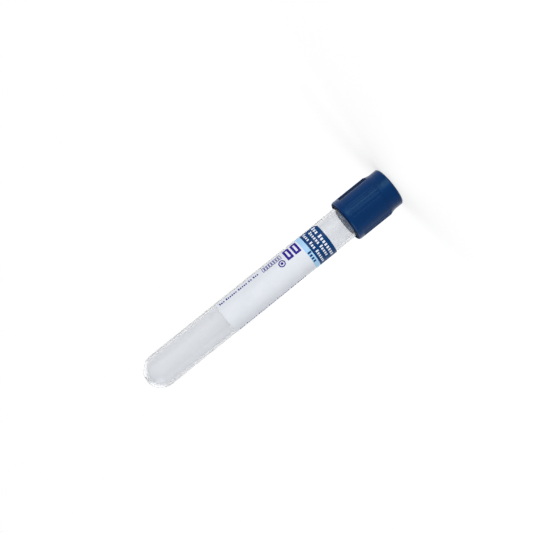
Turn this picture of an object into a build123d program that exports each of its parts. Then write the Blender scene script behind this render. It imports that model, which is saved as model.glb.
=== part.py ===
"""Evacuated blood collection tube, 13 x 100 mm, with a rubber stopper in a plastic safety shield.

The tube stands upside down on the flat rim of its shield, with its axis along Z and its round end
up. The origin is on the axis, at the foot of that rim. +X faces the clear strip of the label.
Lengths are in millimetres, and each profile is drawn as (radius, height) on the XZ plane.
"""

import os
from math import cos, radians, sin

from build123d import *

# ---- Tube: clear moulded PET, with a round end ----
tube_length = 100.0
tube_diameter = 12.3
tube_wall = 0.95
tube_floor = 1.3
tube_rim_chamfer = 0.25

# ---- Label: printed film wrapped round the tube, with a clear strip left between its edges ----
label_length = 44.3
label_gap_to_shield = 8.7
label_thickness = 0.1
label_glue = 0.02
label_window_angle = 48.0
label_corner_radius = 2.0

# ---- Stopper: butyl rubber plug, with a flange that closes the tube's mouth ----
plug_depth = 12.7
plug_clearance = 0.03
plug_grip_length = 8.0
plug_taper_length = 2.5
plug_nose_step = 0.7
plug_nose_chamfer = 0.5
flange_overhang = 0.4
flange_thickness = 2.2
flange_chamfer = 0.3
boss_chamfer = 0.3
boss_rim = 1.4
dimple_depth = 1.4
cavity_wall = 2.1
cavity_depth = 8.4
cavity_taper = 1.4

# ---- Shield: polypropylene cap that holds the stopper's flange and hangs round the tube's end ----
shield_length = 20.0
shield_rise = 7.2
skirt_clearance = 0.7
ring_wall = 1.15
ring_length = 2.0
ring_edge_radius = 1.0
ramp_length = 0.8
panel_wall = 1.0
flare_length = 2.5
band_length = 3.3
band_inset = 0.6
band_edge_chamfer = 0.4
band_wall = 1.9
well_chamfer = 0.4
ledge_thickness = 1.0
ledge_width = 1.1
pocket_clearance = 0.05
bead_clearance = 0.15
bead_length = 0.9
bead_lead = 0.7

# ---- Finger grip: groups of fine ribs in shallow recesses, with a smooth panel between them ----
closure_turn_angle = 12.0
grip_groups = 4
ribs_per_group = 5
rib_pitch_angle = 8.0
rib_radius = 0.36
rib_height = 0.4
recess_depth = 0.24
recess_margin_angle = 6.0
recess_slope_angle = 8.0

# ---- Heights ----
mouth = shield_rise
tube_top = mouth + tube_length
plug_top = mouth + plug_depth
grip_top = mouth + plug_grip_length
nose_start = grip_top + plug_taper_length
cavity_end = plug_top - cavity_depth
flange_bottom = mouth - flange_thickness
ledge_bottom = flange_bottom - ledge_thickness
dimple_top = ledge_bottom + dimple_depth
bead_top = mouth + bead_length
flare_top = band_length + flare_length
ring_bottom = shield_length - ring_length
ramp_bottom = ring_bottom - ramp_length
label_bottom = shield_length + label_gap_to_shield

# ---- Radii ----
tube_radius = tube_diameter / 2
bore_radius = tube_radius - tube_wall
plug_radius = bore_radius - plug_clearance
nose_radius = plug_radius - plug_nose_step
cavity_radius = nose_radius - cavity_wall
flange_radius = tube_radius + flange_overhang
skirt_bore_radius = tube_radius + skirt_clearance
ring_radius = skirt_bore_radius + ring_wall
panel_radius = skirt_bore_radius + panel_wall
band_radius = ring_radius - band_inset
well_radius = band_radius - band_wall
boss_radius = well_radius - ledge_width
dimple_radius = boss_radius - boss_rim
bead_radius = tube_radius + bead_clearance
pocket_radius = flange_radius + pocket_clearance
recess_radius = panel_radius - recess_depth
rib_crest_radius = recess_radius + rib_height


# ---- Tube ----
dome_centre = tube_top - tube_radius
bore_dome_centre = tube_top - tube_floor - bore_radius

with BuildPart() as tube:
    with BuildSketch(Plane.XZ):
        with BuildLine():
            Line((bore_radius, mouth), (tube_radius, mouth))
            Line((tube_radius, mouth), (tube_radius, dome_centre))
            CenterArc((0, dome_centre), tube_radius, 0, 90)
            Line((0, tube_top), (0, tube_top - tube_floor))
            CenterArc((0, bore_dome_centre), bore_radius, 0, 90)
            Line((bore_radius, bore_dome_centre), (bore_radius, mouth))
        make_face()
    revolve(axis=Axis.Z)
    chamfer(tube.edges().group_by(Axis.Z)[0], tube_rim_chamfer)
tube.part.label = "tube"

# ---- Label ----
label_inner_radius = tube_radius + label_glue
label_outer_radius = label_inner_radius + label_thickness
label_middle = label_bottom + label_length / 2
window_half_width = label_outer_radius * sin(radians(label_window_angle / 2))

with BuildPart() as label:
    with BuildSketch(Plane.XY.offset(label_bottom)):
        Circle(label_outer_radius)
        Circle(label_inner_radius, mode=Mode.SUBTRACT)
    extrude(amount=label_length)
    # The clear strip: all that lies between the label's two rounded side edges is cut away.
    with BuildSketch(Plane.YZ):
        with Locations((0, label_middle)):
            Rectangle(2 * (window_half_width + label_corner_radius), 2 * label_length)
        with Locations(
            (window_half_width + tube_radius, label_middle),
            (-window_half_width - tube_radius, label_middle),
        ):
            RectangleRounded(tube_diameter, label_length, label_corner_radius, mode=Mode.SUBTRACT)
    extrude(amount=tube_diameter, mode=Mode.SUBTRACT)
label.part.label = "label"

# ---- Stopper ----
with BuildPart() as stopper:
    with BuildSketch(Plane.XZ):
        with BuildLine():
            Polyline(
                (0, ledge_bottom),
                (boss_radius, ledge_bottom),
                (boss_radius, flange_bottom),
                (flange_radius, flange_bottom),
                (flange_radius, mouth),
                (plug_radius, mouth),
                (plug_radius, grip_top),
                (nose_radius, nose_start),
                (nose_radius, plug_top),
                (0, plug_top),
                close=True,
            )
        make_face()
    revolve(axis=Axis.Z)
    flange_edges = stopper.edges().filter_by(
        lambda edge: edge.geom_type == GeomType.CIRCLE and abs(edge.radius - flange_radius) < 0.001
    )
    chamfer(flange_edges, flange_chamfer)
    chamfer(stopper.edges().group_by(Axis.Z)[-1], plug_nose_chamfer)
    chamfer(stopper.edges().group_by(Axis.Z)[0], boss_chamfer)
    # The plug's cavity, and the dish on the other side that guides a needle to the middle.
    with BuildSketch(Plane.XZ):
        with BuildLine():
            Polyline(
                (0, plug_top),
                (cavity_radius, plug_top),
                (cavity_radius, cavity_end + cavity_taper),
                (cavity_radius / 2, cavity_end),
                (0, cavity_end),
                close=True,
            )
        make_face()
        with BuildLine():
            Polyline(
                (0, ledge_bottom),
                (dimple_radius, ledge_bottom),
                (dimple_radius / 2, dimple_top),
                (0, dimple_top),
                close=True,
            )
        make_face()
    revolve(axis=Axis.Z, mode=Mode.SUBTRACT)
stopper.part.label = "stopper"

# ---- One rib of the finger grip, tapering out on the flare ----
with BuildPart() as rib:
    with BuildSketch(Plane.XY.offset(band_length)):
        with Locations((rib_crest_radius - rib_radius, 0)):
            Circle(rib_radius)
    extrude(amount=ring_bottom - band_length)
    with BuildSketch(Plane.XZ):
        with BuildLine():
            Polyline(
                (0, band_length),
                (band_radius - recess_depth, band_length),
                (rib_crest_radius, flare_top),
                (ring_radius, ring_bottom),
                (0, ring_bottom),
                close=True,
            )
        make_face()
    revolve(axis=Axis.Z, mode=Mode.INTERSECT)

# ---- Shield ----
rib_spread_angle = (ribs_per_group - 1) * rib_pitch_angle
floor_angle = rib_spread_angle / 2 + recess_margin_angle
mouth_angle = floor_angle + recess_slope_angle
outside_radius = 2 * panel_radius


def at_angle(radius, angle):
    """Point of a cross-section at a radius, and at an angle from its X."""
    return (radius * cos(radians(angle)), radius * sin(radians(angle)))


with BuildPart() as shield:
    # Outer form, solid: top band, flare, grip body, ramp and the rounded ring at the skirt's end.
    with BuildSketch(Plane.XZ):
        with BuildLine():
            Polyline(
                (0, 0),
                (band_radius, 0),
                (band_radius, band_length),
                (panel_radius, flare_top),
                (panel_radius, ramp_bottom),
                (ring_radius, ring_bottom),
                (ring_radius, shield_length),
                (0, shield_length),
                close=True,
            )
        make_face()
    revolve(axis=Axis.Z)
    chamfer(shield.edges().group_by(Axis.Z)[0], band_edge_chamfer)
    fillet(shield.edges().group_by(Axis.Z)[-1], ring_edge_radius)
    # Shallow recess with sloped sides for each group of ribs.
    with BuildSketch(Plane.XY.offset(band_length)):
        with PolarLocations(0, grip_groups, start_angle=closure_turn_angle):
            with BuildLine():
                ThreePointArc(
                    at_angle(recess_radius, -floor_angle),
                    at_angle(recess_radius, 0),
                    at_angle(recess_radius, floor_angle),
                )
                Polyline(
                    at_angle(recess_radius, floor_angle),
                    at_angle(panel_radius, mouth_angle),
                    at_angle(outside_radius, mouth_angle),
                    at_angle(outside_radius, -mouth_angle),
                    at_angle(panel_radius, -mouth_angle),
                    at_angle(recess_radius, -floor_angle),
                )
            make_face()
    extrude(amount=ramp_bottom - band_length, mode=Mode.SUBTRACT)
    for group in range(grip_groups):
        group_angle = closure_turn_angle + group * 360 / grip_groups
        for count in range(ribs_per_group):
            rib_angle = group_angle + count * rib_pitch_angle - rib_spread_angle / 2
            add(rib.part.rotate(Axis.Z, rib_angle))
    # Inside: needle well, ledge, pocket for the stopper's flange, bead that holds it, and skirt bore.
    with BuildSketch(Plane.XZ):
        with BuildLine():
            Polyline(
                (0, 0),
                (well_radius + well_chamfer, 0),
                (well_radius, well_chamfer),
                (well_radius, ledge_bottom),
                (boss_radius + pocket_clearance, ledge_bottom),
                (boss_radius + pocket_clearance, flange_bottom),
                (pocket_radius, flange_bottom),
                (pocket_radius, mouth),
                (bead_radius, mouth),
                (bead_radius, bead_top),
                (skirt_bore_radius, bead_top + bead_lead),
                (skirt_bore_radius, shield_length),
                (0, shield_length),
                close=True,
            )
        make_face()
    revolve(axis=Axis.Z, mode=Mode.SUBTRACT)
shield.part.label = "shield"

# ---- Files ----
os.makedirs("parts", exist_ok=True)
for piece in (tube, label, stopper, shield):
    export_step(piece.part, f"parts/{piece.part.label}.step")
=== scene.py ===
"""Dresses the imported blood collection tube: materials, the label's print, a white studio, a camera.

Everything is in metres, in the frame of the CAD. The tube stands upside down on the rim of its
shield, with its axis on Z and its round end up. The front is -Y, and the label's clear strip is
on +X. Places on the label are given as (turn, height): the turn is in degrees round the axis
from the front, positive towards +X, and the height is measured from the label's lower edge.
"""

from math import asin, cos, degrees, pi, radians, sin

import bmesh
import bpy
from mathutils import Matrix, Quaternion, Vector


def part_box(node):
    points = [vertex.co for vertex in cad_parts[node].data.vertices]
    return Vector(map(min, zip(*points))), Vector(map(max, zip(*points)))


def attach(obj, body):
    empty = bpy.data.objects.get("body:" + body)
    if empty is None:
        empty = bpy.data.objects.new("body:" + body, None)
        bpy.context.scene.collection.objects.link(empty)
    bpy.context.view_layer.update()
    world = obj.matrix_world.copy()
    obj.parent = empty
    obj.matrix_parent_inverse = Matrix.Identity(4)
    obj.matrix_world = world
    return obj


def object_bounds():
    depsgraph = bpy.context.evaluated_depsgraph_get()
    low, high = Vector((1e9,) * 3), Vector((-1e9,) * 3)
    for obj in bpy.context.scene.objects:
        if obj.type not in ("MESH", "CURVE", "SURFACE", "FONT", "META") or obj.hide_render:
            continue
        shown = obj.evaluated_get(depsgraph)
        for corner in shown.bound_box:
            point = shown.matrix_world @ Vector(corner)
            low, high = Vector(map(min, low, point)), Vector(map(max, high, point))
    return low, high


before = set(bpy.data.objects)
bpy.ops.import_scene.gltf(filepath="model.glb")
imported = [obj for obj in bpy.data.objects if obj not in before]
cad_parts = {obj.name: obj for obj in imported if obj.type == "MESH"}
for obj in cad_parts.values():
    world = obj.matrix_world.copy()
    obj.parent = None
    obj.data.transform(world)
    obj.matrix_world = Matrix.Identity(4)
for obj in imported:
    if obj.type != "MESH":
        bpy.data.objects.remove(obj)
cad_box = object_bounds()

MM = 0.001

# ---- Places worked out from the frame ----
cad_low, cad_high = cad_box
label_low, label_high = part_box("label")
centre = (cad_low + cad_high) / 2
label_radius = label_high.y
label_foot = label_low.z
# The clear strip's middle is at a turn of 90, and the label's ends lie as far before it as after it.
label_right = degrees(asin(label_high.x / label_radius))
label_left = -180 - label_right


# ---- Materials ----
# Grains of each noise in a metre, and how some of them are drawn out along the tube's axis.
MOTTLE, PATCHES, GRAIN = 260, 700, 3500
CLEAR_STREAKS, CLEAR_PATCHES, CLEAR_WAVES = 190, 500, 420
FILM_CLOUD, FILM_PATCHES, FILM_RIPPLE = 180, 900, 650
FLOW, STREAK_FLOW, WAVE_FLOW = (1, 1, 0.15), (1, 1, 0.03), (1, 1, 0.04)

# Parts of a noise's height over which a number and a colour change.
NUMBER_LOW, NUMBER_HIGH = 0.3, 0.7
COLOUR_LOW, COLOUR_HIGH = 0.35, 0.65

# The gate mark is a shallow round dimple on the axis, with a soft edge.
GATE_RADIUS = 1.1 * MM
GATE_EDGE = 0.25 * MM
GATE_DEPTH = 0.05 * MM

# The grooves between the ribs lie inside this radius and above this height. So do the inside of
# the skirt and the inner part of its end, which get the same look: matt, with painted shade.
GROOVE_RADIUS = 7.69 * MM
GROOVE_EDGE = 0.1 * MM
GROOVE_FOOT = 5.4 * MM
GROOVE_FADE = 0.3 * MM

# What the clear plastic lets through of each colour, and how fast it takes out the rest.
PET_TINT = (0, 0.04, 0.1, 1)
PET_DENSITY = 62


def srgb(red, green, blue):
    """Linear colour of an 8-bit screen colour."""
    levels = [level / 255 for level in (red, green, blue)]
    return (*[v / 12.92 if v <= 0.04045 else ((v + 0.055) / 1.055) ** 2.4 for v in levels], 1)


def new_material(name):
    """A named material, its nodes, its links and its Principled node."""
    material = bpy.data.materials.new(name)
    material.use_nodes = True
    nodes, links = material.node_tree.nodes, material.node_tree.links
    return material, nodes, links, nodes["Principled BSDF"]


def noise(nodes, links, scale, detail, stretch=(1, 1, 1)):
    """Height of a noise over the object's own space, with grains of about 1 / scale metres."""
    place = nodes.new("ShaderNodeTexCoord")
    mapping = nodes.new("ShaderNodeMapping")
    mapping.inputs["Scale"].default_value = stretch
    texture = nodes.new("ShaderNodeTexNoise")
    texture.inputs["Scale"].default_value = scale
    texture.inputs["Detail"].default_value = detail
    links.new(place.outputs["Object"], mapping.inputs["Vector"])
    links.new(mapping.outputs["Vector"], texture.inputs["Vector"])
    return texture.outputs["Fac"]


def ramp(nodes, links, height, low, high):
    """Colour that goes from low to high as a noise goes over its usual range."""
    node = nodes.new("ShaderNodeValToRGB")
    first, last = node.color_ramp.elements
    first.position, first.color = COLOUR_LOW, low
    last.position, last.color = COLOUR_HIGH, high
    links.new(height, node.inputs["Fac"])
    return node.outputs["Color"]


def map_range(nodes, links, value, start, end, low=0.0, high=1.0):
    """Number that goes from low to high as a value goes from start to end, and no further."""
    node = nodes.new("ShaderNodeMapRange")
    node.inputs["From Min"].default_value, node.inputs["From Max"].default_value = start, end
    node.inputs["To Min"].default_value, node.inputs["To Max"].default_value = low, high
    links.new(value, node.inputs["Value"])
    return node.outputs["Result"]


def spread(nodes, links, height, low, high):
    """Number that goes from low to high as a noise goes over its usual range."""
    return map_range(nodes, links, height, NUMBER_LOW, NUMBER_HIGH, low, high)


def calculate(nodes, links, operation, first, second):
    """Sum, product or maximum of two numbers, kept between 0 and 1."""
    node = nodes.new("ShaderNodeMath")
    node.operation, node.use_clamp = operation, True
    links.new(first, node.inputs[0])
    links.new(second, node.inputs[1])
    return node.outputs[0]


def bump(nodes, links, height, depth, under=None):
    """Normal of a relief of a height of so many metres, over an earlier relief if there is one."""
    node = nodes.new("ShaderNodeBump")
    node.inputs["Distance"].default_value = depth
    links.new(height, node.inputs["Height"])
    if under is not None:
        links.new(under, node.inputs["Normal"])
    return node.outputs["Normal"]


def from_axis(nodes, links):
    """Distance from the tube's axis, in metres."""
    place = nodes.new("ShaderNodeTexCoord")
    flat = nodes.new("ShaderNodeVectorMath")
    flat.operation = "MULTIPLY"
    flat.inputs[1].default_value = (1, 1, 0)
    links.new(place.outputs["Object"], flat.inputs[0])
    distance = nodes.new("ShaderNodeVectorMath")
    distance.operation = "LENGTH"
    links.new(flat.outputs["Vector"], distance.inputs[0])
    return distance.outputs["Value"]


def open_to_lamps(nodes, links, shader, colour=(1, 1, 1, 1)):
    """Lets the lamps' light through a surface, which is transparent to shadow rays."""
    path = nodes.new("ShaderNodeLightPath")
    through = nodes.new("ShaderNodeBsdfTransparent")
    through.inputs["Color"].default_value = colour
    mix = nodes.new("ShaderNodeMixShader")
    links.new(path.outputs["Is Shadow Ray"], mix.inputs["Fac"])
    links.new(shader.outputs["BSDF"], mix.inputs[1])
    links.new(through.outputs["BSDF"], mix.inputs[2])
    links.new(mix.outputs["Shader"], nodes["Material Output"].inputs["Surface"])


def stopper_rubber():
    """Dull blue rubber: a faint mottle drawn out along the flow, and a fine orange peel."""
    material, nodes, links, shader = new_material("stopper_rubber")
    mottle = noise(nodes, links, MOTTLE, 4, FLOW)
    colour = ramp(nodes, links, mottle, srgb(12, 60, 100), srgb(18, 67, 108))
    links.new(colour, shader.inputs["Base Color"])
    patches = noise(nodes, links, PATCHES, 2)
    links.new(spread(nodes, links, patches, 0.5, 0.65), shader.inputs["Roughness"])
    grain = noise(nodes, links, GRAIN, 2)
    links.new(bump(nodes, links, grain, 0.02 * MM), shader.inputs["Normal"])
    shader.inputs["Specular IOR Level"].default_value = 0.2
    return material


def shield_plastic():
    """Glossy blue polypropylene; matt in the ribs' grooves and inside the skirt, with painted shade
    there.
    """
    material, nodes, links, shader = new_material("shield_blue")
    mottle = noise(nodes, links, MOTTLE, 4, FLOW)
    colour = ramp(nodes, links, mottle, srgb(0, 39, 88), srgb(0, 44, 96))
    patches = noise(nodes, links, PATCHES, 2)
    smooth = spread(nodes, links, patches, 0.22, 0.28)

    place = nodes.new("ShaderNodeTexCoord")
    height = nodes.new("ShaderNodeSeparateXYZ")
    links.new(place.outputs["Object"], height.inputs["Vector"])
    radius = from_axis(nodes, links)
    raised = map_range(nodes, links, radius, GROOVE_RADIUS, GROOVE_RADIUS + GROOVE_EDGE)
    below = map_range(nodes, links, height.outputs["Z"], GROOVE_FOOT, GROOVE_FOOT - GROOVE_FADE)
    outer = calculate(nodes, links, "MAXIMUM", raised, below)

    # Painted shade: the grooves and the inside of the skirt get a much darker blue, as if in shadow.
    shade = nodes.new("ShaderNodeMix")
    shade.data_type = "RGBA"
    links.new(outer, shade.inputs["Factor"])
    shade.inputs["A"].default_value = srgb(0, 14, 48)
    links.new(colour, shade.inputs["B"])
    links.new(shade.outputs["Result"], shader.inputs["Base Color"])
    matt = nodes.new("ShaderNodeMix")
    links.new(outer, matt.inputs["Factor"])
    matt.inputs["A"].default_value = 0.9
    links.new(smooth, matt.inputs["B"])
    links.new(matt.outputs["Result"], shader.inputs["Roughness"])

    grain = noise(nodes, links, GRAIN, 2)
    links.new(bump(nodes, links, grain, 0.008 * MM), shader.inputs["Normal"])
    shader.inputs["Specular IOR Level"].default_value = 0.26
    shader.inputs["Specular Tint"].default_value = (0.28, 0.62, 0.9, 1)
    return material


def clear_plastic():
    """Clear moulded PET, greyish, with lengthwise flow streaks and a gate mark on its round tip."""
    material, nodes, links, shader = new_material("clear_pet")
    streaks = noise(nodes, links, CLEAR_STREAKS, 2, STREAK_FLOW)
    colour = ramp(nodes, links, streaks, srgb(232, 234, 237), srgb(242, 243, 245))
    links.new(colour, shader.inputs["Base Color"])
    shader.inputs["Transmission Weight"].default_value = 0.95
    shader.inputs["IOR"].default_value = 1.57
    shader.inputs["Specular Tint"].default_value = (0.5, 0.5, 0.5, 1)
    patches = noise(nodes, links, CLEAR_PATCHES, 2)
    links.new(spread(nodes, links, patches, 0.05, 0.09), shader.inputs["Roughness"])
    # The gate mark shows on the round tip alone: nothing else of the tube is so near the axis.
    gate = map_range(nodes, links, from_axis(nodes, links), GATE_RADIUS, GATE_RADIUS + GATE_EDGE)
    gate.node.interpolation_type = "SMOOTHSTEP"
    dimple = bump(nodes, links, gate, GATE_DEPTH)
    waves = noise(nodes, links, CLEAR_WAVES, 2, WAVE_FLOW)
    links.new(bump(nodes, links, waves, 0.008 * MM, under=dimple), shader.inputs["Normal"])
    body = nodes.new("ShaderNodeVolumeAbsorption")
    body.inputs["Color"].default_value = PET_TINT
    body.inputs["Density"].default_value = PET_DENSITY
    links.new(body.outputs["Volume"], nodes["Material Output"].inputs["Volume"])
    # Lamps shine straight through the wall, so what is inside the tube stays lit.
    open_to_lamps(nodes, links, shader, srgb(244, 245, 247))
    return material


def film(name, colour, shade):
    """Printed label film: even colour with a faint cloud in it, and a soft gloss."""
    material, nodes, links, shader = new_material(name)
    cloud = noise(nodes, links, FILM_CLOUD, 3)
    links.new(ramp(nodes, links, cloud, shade, colour), shader.inputs["Base Color"])
    patches = noise(nodes, links, FILM_PATCHES, 2)
    links.new(spread(nodes, links, patches, 0.3, 0.42), shader.inputs["Roughness"])
    ripple = noise(nodes, links, FILM_RIPPLE, 2)
    links.new(bump(nodes, links, ripple, 0.01 * MM), shader.inputs["Normal"])
    shader.inputs["Specular IOR Level"].default_value = 0.12
    return material


def dress(node, material):
    """Gives a CAD node its material."""
    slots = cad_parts[node].material_slots
    for slot in slots:
        slot.material = material


dress("tube", clear_plastic())
dress("label", film("label_white", srgb(230, 234, 240), srgb(225, 230, 237)))
dress("stopper", stopper_rubber())
dress("shield", shield_plastic())


# ---- The label's print: plain fields, bars and rings, drawn flat and then wrapped round ----
INK_LIFT = 0.025 * MM
STRIP_WIDTH = 0.3 * MM
LABEL_CORNER = 2.0 * MM
MERGE_DISTANCE = 1e-7

# Straight steps in a rounded corner: of a border, and of the dark field.
BORDER_STEPS = 6
FIELD_STEPS = 8

FIELD_HEIGHT = 7.2 * MM
STRIPE_HEIGHT = 1.85 * MM


def arc(turn):
    """Distance round the label, in metres, of a turn in degrees."""
    return label_radius * radians(turn)


class Artwork:
    """Flat print as a mesh of faces at (distance round, height above the label's lower edge)."""

    def __init__(self):
        self.mesh = bmesh.new()

    def outline(self, points):
        """A filled shape, from its outline."""
        self.mesh.faces.new([self.mesh.verts.new((x, 0, z)) for x, z in points])

    def bar(self, x, z, width, height):
        """A filled rectangle, from its middle."""
        w, h = width / 2, height / 2
        self.outline([(x - w, z - h), (x + w, z - h), (x + w, z + h), (x - w, z + h)])

    def border(self, x, z, width, height, line, corner=0.0):
        """A line round a rectangle with rounded corners, or round a circle if the corners meet."""
        loops = []
        for inset in (0, line):
            w, h, r = width / 2 - inset, height / 2 - inset, max(corner - inset, 0)
            loops.append(
                [
                    (
                        x + sx * (w - r) + r * cos(radians(start + 90 * k / BORDER_STEPS)),
                        z + sz * (h - r) + r * sin(radians(start + 90 * k / BORDER_STEPS)),
                    )
                    for sx, sz, start in ((1, 1, 0), (-1, 1, 90), (-1, -1, 180), (1, -1, 270))
                    for k in range(BORDER_STEPS + 1)
                ]
            )
        outer, inner = loops
        for k in range(len(outer)):
            n = (k + 1) % len(outer)
            self.outline([outer[k], outer[n], inner[n], inner[k]])

    def words(self, x, z, lengths, size, along_tube=False):
        """Groups of plain blocks in place of lettering, which run to the left, or down to the closure.

        The first block of each group is the tallest.
        """
        block, small, step, space = 0.5 * size, 0.74 * size, 0.84 * size, 0.5 * size
        run = 0.0
        for length in lengths:
            for count in range(length):
                middle = run + block / 2
                tall = size if count == 0 else small
                drop = (size - tall) / 2
                if along_tube:
                    self.bar(x - drop, z - middle, tall, block)
                else:
                    self.bar(x - middle, z + drop, block, tall)
                run += step
            run += space

    def wrap(self, name, material, lift=INK_LIFT):
        """Cuts the print into narrow strips, bends it round the label, and lets it ride there."""
        bmesh.ops.remove_doubles(self.mesh, verts=self.mesh.verts, dist=MERGE_DISTANCE)
        xs = [v.co.x for v in self.mesh.verts]
        cut = min(xs) + STRIP_WIDTH
        while cut < max(xs):
            geometry = self.mesh.verts[:] + self.mesh.edges[:] + self.mesh.faces[:]
            bmesh.ops.bisect_plane(
                self.mesh,
                geom=geometry,
                plane_co=(cut, 0, 0),
                plane_no=(1, 0, 0),
                dist=MERGE_DISTANCE,
            )
            cut += STRIP_WIDTH
        radius = label_radius + lift
        for vertex in self.mesh.verts:
            turn = vertex.co.x / label_radius
            height = label_foot + vertex.co.z
            vertex.co = (radius * sin(turn), -radius * cos(turn), height)
        bmesh.ops.recalc_face_normals(self.mesh, faces=self.mesh.faces)
        for face in self.mesh.faces:
            middle = face.calc_center_median()
            if face.normal.dot(Vector((middle.x, middle.y, 0))) < 0:
                face.normal_flip()
            face.smooth = True
        data = bpy.data.meshes.new(name)
        self.mesh.to_mesh(data)
        self.mesh.free()
        piece = bpy.data.objects.new(name, data)
        bpy.context.scene.collection.objects.link(piece)
        data.materials.append(material)
        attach(piece, "tube")


navy_ink = film("navy_ink", srgb(0, 60, 116), srgb(0, 54, 106))
sky_ink = film("sky_ink", srgb(176, 216, 247), srgb(168, 210, 244))
white_ink = film("white_ink", srgb(236, 241, 250), srgb(228, 234, 246))
violet_ink = film("violet_ink", srgb(48, 28, 146), srgb(42, 22, 134))

# The dark field fills the label's foot from edge to edge, and follows its rounded corners.
field = Artwork()
right, left = arc(label_right), arc(label_left)
corner = []
for k in range(FIELD_STEPS + 1):
    angle = radians(90 * k / FIELD_STEPS)
    corner.append((LABEL_CORNER * (1 - cos(angle)), LABEL_CORNER * (1 - sin(angle))))
field.outline(
    [(left, FIELD_HEIGHT)]
    + [(left + x, z) for x, z in corner]
    + [(right - x, z) for x, z in reversed(corner)]
    + [(right, FIELD_HEIGHT)]
)
field.wrap("print_field", navy_ink)

stripe = Artwork()
stripe.bar((left + right) / 2, FIELD_HEIGHT + STRIPE_HEIGHT / 2, right - left, STRIPE_HEIGHT)
stripe.wrap("print_stripe", sky_ink)

# Each line: the turn it starts at, its height and its blocks' height in mm, and its groups of blocks.
lines = Artwork()
for turn, height, size, groups in (
    (58, 1.8, 1.4, (3, 8)),
    (50, 3.6, 1.15, (6, 5)),
    (60, 5.7, 1.15, (4, 3, 6)),
):
    lines.words(arc(turn), height * MM, groups, size * MM)
lines.wrap("print_field_lines", white_ink, 2 * INK_LIFT)

dark_word = Artwork()
dark_word.words(arc(-1), 8.1 * MM, (4,), 1.4 * MM)
dark_word.wrap("print_stripe_word", navy_ink, 2 * INK_LIFT)

# Two hollow rectangles, and a ring with a dot in it.
RING_TURN, RING_HEIGHT = 23, 17.7 * MM
marks = Artwork()
for height in (14.1, 10.9):
    marks.border(arc(38), height * MM, 4.6 * MM, 2.5 * MM, line=0.85 * MM, corner=0.2 * MM)
for size, line in ((2.6 * MM, 0.4 * MM), (1.0 * MM, 0.5 * MM)):
    marks.border(arc(RING_TURN), RING_HEIGHT, size, size, line, corner=size / 2)
marks.wrap("print_marks", violet_ink)

# A ladder of small boxes, and two lines of small blocks that run down towards the closure.
LADDER_TURN, LADDER_FOOT, LADDER_STEP = 48, 17.0 * MM, 1.0 * MM
LADDER_BOXES = 8
NOTE_SIZE = 0.95 * MM
notes = Artwork()
for count in range(LADDER_BOXES):
    height = LADDER_FOOT + count * LADDER_STEP
    notes.border(arc(LADDER_TURN), height, 2.0 * MM, 0.9 * MM, line=0.2 * MM)
notes.words(arc(50), 43.0 * MM, (3, 6, 5, 2, 3), NOTE_SIZE, along_tube=True)
notes.words(arc(-71), 42.5 * MM, (3, 6, 5, 4, 7, 3, 5), NOTE_SIZE, along_tube=True)
notes.wrap("print_notes", violet_ink)


# ---- Stage: a white floor that keeps the object's shadow, and a white room ----
FLOOR_SIZE = 3.0
FLOOR_COLOUR = 0.35
# The floor's glow by the object, and at GLOW_REACH from it, where little of the lamps' light falls.
FLOOR_GLOW_NEAR = 0.62
FLOOR_GLOW_FAR = 0.86
GLOW_REACH = 0.9


def seen_directly(nodes, links):
    """1 for rays that look at the background, straight, by reflection or through clear plastic."""
    path = nodes.new("ShaderNodeLightPath")
    total = path.outputs["Is Camera Ray"]
    for kind in ("Is Glossy Ray", "Is Transmission Ray"):
        total = calculate(nodes, links, "ADD", total, path.outputs[kind])
    return total


def white_floor():
    """Floor that lets lamps through, and whose glow rises where less of their light falls."""
    material, nodes, links, shader = new_material("floor_white")
    shader.inputs["Base Color"].default_value = (FLOOR_COLOUR, FLOOR_COLOUR, FLOOR_COLOUR, 1)
    shader.inputs["Roughness"].default_value = 0.9
    shader.inputs["Specular IOR Level"].default_value = 0
    shader.inputs["Emission Color"].default_value = (1, 1, 1, 1)
    away = from_axis(nodes, links)
    glow = map_range(nodes, links, away, 0, GLOW_REACH, FLOOR_GLOW_NEAR, FLOOR_GLOW_FAR)
    lift = calculate(nodes, links, "MULTIPLY", seen_directly(nodes, links), glow)
    links.new(lift, shader.inputs["Emission Strength"])
    open_to_lamps(nodes, links, shader)
    return material


bpy.ops.mesh.primitive_plane_add(size=FLOOR_SIZE, location=(centre.x, centre.y, cad_low.z))
floor = bpy.context.object
floor.name = "floor"
floor.data.materials.append(white_floor())

# Strength of the room as a light. Where the room itself is seen, it is white.
ROOM_LIGHT = 0.4

world = bpy.data.worlds.new("studio")
world.use_nodes = True
bpy.context.scene.world = world
sky_nodes, sky_links = world.node_tree.nodes, world.node_tree.links
seen = seen_directly(sky_nodes, sky_links)
room = map_range(sky_nodes, sky_links, seen, 0, 1, ROOM_LIGHT, 1)
sky_nodes["Background"].inputs["Color"].default_value = (1, 1, 1, 1)
sky_links.new(room, sky_nodes["Background"].inputs["Strength"])


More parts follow.
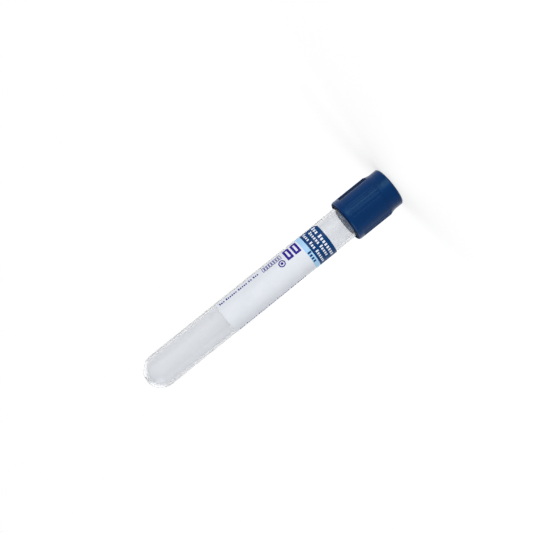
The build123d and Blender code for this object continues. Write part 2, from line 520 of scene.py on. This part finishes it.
def direction(azimuth, elevation):
    """Unit vector from the object towards a camera or lamp; azimuth 0 is the front, 90 is +X."""
    a, e = radians(azimuth), radians(elevation)
    return Vector((sin(a) * cos(e), -cos(a) * cos(e), sin(e)))


def softbox(name, azimuth, elevation, distance, width, height, radiance):
    """Area lamp that faces the object, given by how bright its face looks in a reflection."""
    lamp = bpy.data.lights.new(name, "AREA")
    lamp.shape, lamp.size, lamp.size_y = "RECTANGLE", width, height
    lamp.energy = radiance * pi * width * height
    holder = bpy.data.objects.new(name, lamp)
    # Through plastic the lamp isn't seen, because it would leave noise and glints there.
    holder.visible_transmission = False
    back = direction(azimuth, elevation)
    holder.location = centre + back * distance
    holder.rotation_mode = "QUATERNION"
    holder.rotation_quaternion = (-back).to_track_quat("-Z", "Y")
    bpy.context.scene.collection.objects.link(holder)


# Each lamp: name, azimuth and elevation in degrees, distance, width, height and radiance. The key
# shines up through the floor, from the side of the closure.
for lamp in (
    ("key", 30, -20, 0.7, 0.3, 0.38, 9),
    ("fill_left", -60, 42, 0.8, 0.6, 0.6, 2.5),
    ("back_left", -140, 45, 0.7, 0.5, 0.6, 2.1),
    ("back_right", 140, 45, 0.7, 0.5, 0.6, 2.1),
):
    softbox(*lamp)

# ---- Camera: the tube lies slantwise across the picture, round end low on the left ----
CAMERA_DISTANCE = 0.36
CAMERA_ELEVATION = 3.155
CAMERA_ROLL = 128.75
CAMERA_LENS = 70.6
CAMERA_SENSOR = 36
CAMERA_CLIP = (0.01, 10)
AIM = Vector((5.0 * MM, 0, -2.8 * MM))

camera_data = bpy.data.cameras.new("camera")
camera_data.sensor_width = CAMERA_SENSOR
camera_data.lens = CAMERA_LENS
camera = bpy.data.objects.new("camera", camera_data)
back = direction(0, CAMERA_ELEVATION)
camera.location = centre + AIM + back * CAMERA_DISTANCE
camera.rotation_mode = "QUATERNION"
roll = Quaternion((0, 0, 1), -radians(CAMERA_ROLL))
camera.rotation_quaternion = (-back).to_track_quat("-Z", "Y") @ roll
camera_data.clip_start, camera_data.clip_end = CAMERA_CLIP
bpy.context.scene.collection.objects.link(camera)
bpy.context.scene.camera = camera

bpy.context.scene.view_settings.view_transform = "Standard"
